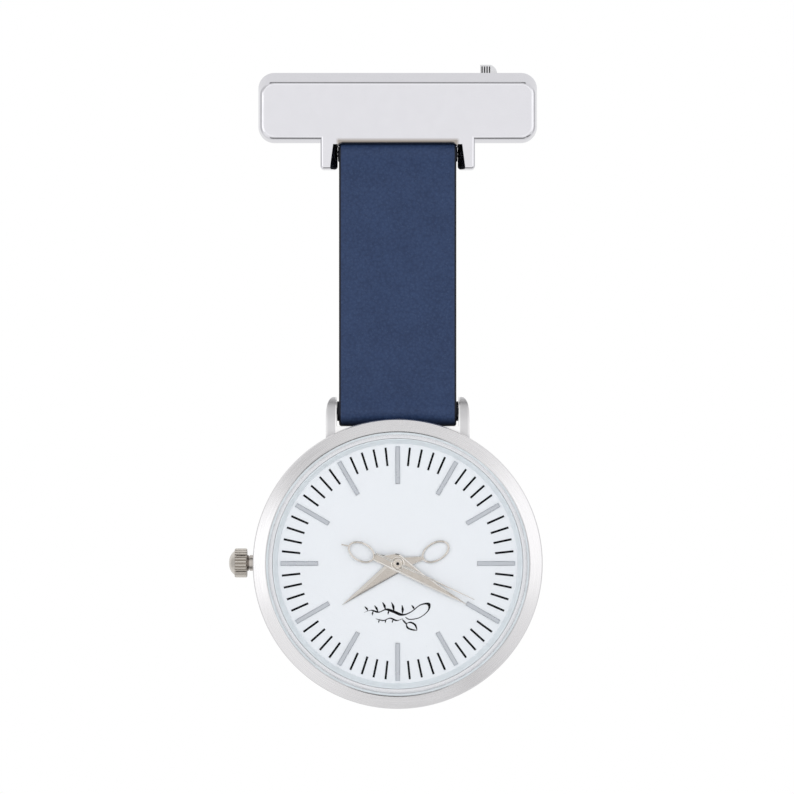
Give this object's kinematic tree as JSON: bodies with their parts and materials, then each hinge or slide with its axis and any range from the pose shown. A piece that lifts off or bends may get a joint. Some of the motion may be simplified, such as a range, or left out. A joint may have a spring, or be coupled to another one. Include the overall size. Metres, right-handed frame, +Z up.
{
  "type": "fob watch",
  "caption": "Pin-on fob watch: polished brooch bar with a hinged pin, folded leather strap and a round quartz head that hangs upside down, with scissor-shaped hands.",
  "frame": {"origin": "on the axis of the brooch pin, in line with the middle of the strap", "axes": "+X along the pin towards its point, +Z up, the dial faces -Y"},
  "size_m": [0.0412, 0.0086, 0.0849],
  "materials": {
    "bar_chrome": "polished plating",
    "plated_steel": "satin plating",
    "pin_steel": "drawn steel wire",
    "spring_bar_steel": "turned steel",
    "navy_leather": "smooth fine grain",
    "case_steel": "polished with fine brushing",
    "bezel_steel": "fine circular brushing",
    "crystal_glass": "clear mineral glass",
    "gasket_nylon": "translucent nylon",
    "chapter_ring_silver": "silver lacquer",
    "white_dial": "matt white lacquer",
    "marker_silver": "polished silver",
    "dial_print": "black printing ink",
    "gasket_rubber": "matt black rubber",
    "holder_plastic": "off-white moulding",
    "movement_plate": "nickel-plated brass",
    "screw_steel": "polished slotted heads",
    "battery_steel": "satin steel cell",
    "spring_steel": "rolled sheet",
    "coil_copper": "enamelled copper wire",
    "board_green": "solder mask",
    "can_metal": "drawn metal can",
    "chip_black": "black epoxy",
    "gear_brass": "fine turned brass",
    "gear_steel": "hardened steel",
    "rotor_magnet": "dark sintered magnet",
    "hand_nickel": "bevelled, polished warm nickel",
    "crown_nickel": "fluted, warm nickel"
  },
  "bodies": {
    "brooch": {"brooch_bar": "bar_chrome", "brooch_back_plate": "plated_steel", "pin_hinge_bracket": "plated_steel", "pin_hinge_rivet": "plated_steel", "catch_barrel": "plated_steel", "upper_spring_bar_tube": "spring_bar_steel", "upper_spring_bar_tips": "spring_bar_steel", "upper_spring_bar_coil": "spring_bar_steel"},
    "catch": {"catch_sleeve": "plated_steel"},
    "pin": {"pin_stem": "pin_steel"},
    "strap": {"strap": "navy_leather"},
    "case": {"case_middle": "case_steel", "bezel": "bezel_steel", "crystal": "crystal_glass", "crystal_gasket": "gasket_nylon", "chapter_ring": "chapter_ring_silver", "dial": "white_dial", "hour_markers": "marker_silver", "minute_marks": "dial_print", "case_back": "case_steel", "case_back_gasket": "gasket_rubber", "case_tube": "crown_nickel", "lower_spring_bar_tube": "spring_bar_steel", "lower_spring_bar_tips": "spring_bar_steel", "lower_spring_bar_coil": "spring_bar_steel", "movement_holder": "holder_plastic", "main_plate": "movement_plate", "train_bridge": "movement_plate", "bridge_screws": "screw_steel", "battery": "battery_steel", "battery_clamp": "spring_steel", "stator": "spring_steel", "coil_core": "spring_steel", "coil_winding": "coil_copper", "circuit_board": "board_green", "quartz_crystal_can": "can_metal", "circuit_chip": "chip_black", "hour_wheel_washer": "spring_steel"},
    "seconds": {"seconds_wheel": "gear_brass", "seconds_hand": "hand_nickel"},
    "third": {"third_wheel": "gear_brass"},
    "centre": {"centre_wheel": "gear_brass"},
    "intermediate": {"intermediate_wheel": "gear_brass"},
    "rotor": {"rotor": "rotor_magnet"},
    "minutes": {"cannon_pinion": "gear_brass", "minute_hand": "hand_nickel"},
    "hours": {"hour_wheel": "gear_brass", "hour_hand": "hand_nickel"},
    "minute_wheel": {"minute_wheel": "gear_brass"},
    "setting_wheel": {"setting_wheel": "gear_steel"},
    "sliding_pinion": {"sliding_pinion": "gear_steel"},
    "crown": {"crown": "crown_nickel", "crown_gasket": "gasket_rubber", "stem": "gear_steel"},
    "setting_lever": {"setting_lever": "spring_steel"}
  },
  "joints": [
    {"name": "pin_open", "type": "hinge", "parent": "brooch", "child": "pin", "pos_m": [-0.0132, 0, 0], "axis": [0, 0, 1], "range_deg": [0, 75]},
    {"name": "catch_turn", "type": "hinge", "parent": "brooch", "child": "catch", "pos_m": [0.01206, 0, 0], "axis": [1, 0, 0], "range_deg": [-90, 0]},
    {"name": "strap_swing", "type": "hinge", "parent": "brooch", "child": "strap", "pos_m": [0, -0.0033, -0.0096], "axis": [1, 0, 0], "range_deg": [-76, 80]},
    {"name": "head_swing", "type": "hinge", "parent": "strap", "child": "case", "pos_m": [0, -0.0033, -0.04346], "axis": [1, 0, 0], "range_deg": [-75, 60]},
    {"name": "seconds_turn", "type": "hinge", "parent": "case", "child": "seconds", "pos_m": [0, -0.0033, -0.06346], "axis": [0, 1, 0], "continuous": true},
    {"name": "third_wheel_turn", "type": "hinge", "parent": "case", "child": "third", "pos_m": [-0.00009, -0.0033, -0.06074], "axis": [0, 1, 0], "continuous": true},
    {"name": "centre_wheel_turn", "type": "hinge", "parent": "case", "child": "centre", "pos_m": [0, -0.0033, -0.06346], "axis": [0, 1, 0], "continuous": true},
    {"name": "intermediate_wheel_turn", "type": "hinge", "parent": "case", "child": "intermediate", "pos_m": [-0.00066, -0.0033, -0.06526], "axis": [0, 1, 0], "continuous": true},
    {"name": "rotor_turn", "type": "hinge", "parent": "case", "child": "rotor", "pos_m": [0.00018, -0.0033, -0.06672], "axis": [0, 1, 0], "continuous": true},
    {"name": "minute_turn", "type": "hinge", "parent": "case", "child": "minutes", "pos_m": [0, -0.0033, -0.06346], "axis": [0, 1, 0], "continuous": true},
    {"name": "hour_turn", "type": "hinge", "parent": "case", "child": "hours", "pos_m": [0, -0.0033, -0.06346], "axis": [0, 1, 0], "continuous": true},
    {"name": "minute_wheel_turn", "type": "hinge", "parent": "case", "child": "minute_wheel", "pos_m": [-0.00199, -0.0033, -0.06439], "axis": [0, 1, 0], "continuous": true},
    {"name": "setting_wheel_turn", "type": "hinge", "parent": "case", "child": "setting_wheel", "pos_m": [-0.00446, -0.0033, -0.06346], "axis": [0, 1, 0], "continuous": true},
    {"name": "crown_turn", "type": "hinge", "parent": "case", "child": "sliding_pinion", "pos_m": [-0.006, -0.0031, -0.06346], "axis": [1, 0, 0], "continuous": true},
    {"name": "crown_pull", "type": "slide", "parent": "sliding_pinion", "child": "crown", "axis": [1, 0, 0], "range_m": [0, 0.00075]},
    {"name": "setting_lever_swing", "type": "hinge", "parent": "case", "child": "setting_lever", "pos_m": [-0.00783, -0.0033, -0.06086], "axis": [0, 1, 0], "range_deg": [-19.6, 0]}
  ],
  "couplings": [
    {"joint": "third_wheel_turn", "follows": "seconds_turn", "ratio": -0.13333},
    {"joint": "centre_wheel_turn", "follows": "seconds_turn", "ratio": 0.016667},
    {"joint": "intermediate_wheel_turn", "follows": "seconds_turn", "ratio": -5},
    {"joint": "rotor_turn", "follows": "seconds_turn", "ratio": 30},
    {"joint": "minute_wheel_turn", "follows": "minute_turn", "ratio": -0.33333},
    {"joint": "hour_turn", "follows": "minute_turn", "ratio": 0.083333},
    {"joint": "setting_wheel_turn", "follows": "minute_turn", "ratio": 0.55556},
    {"joint": "crown_turn", "follows": "minute_turn", "ratio": -0.5},
    {"joint": "setting_lever_swing", "follows": "crown_pull", "rad_per_m": -454.2}
  ]
}
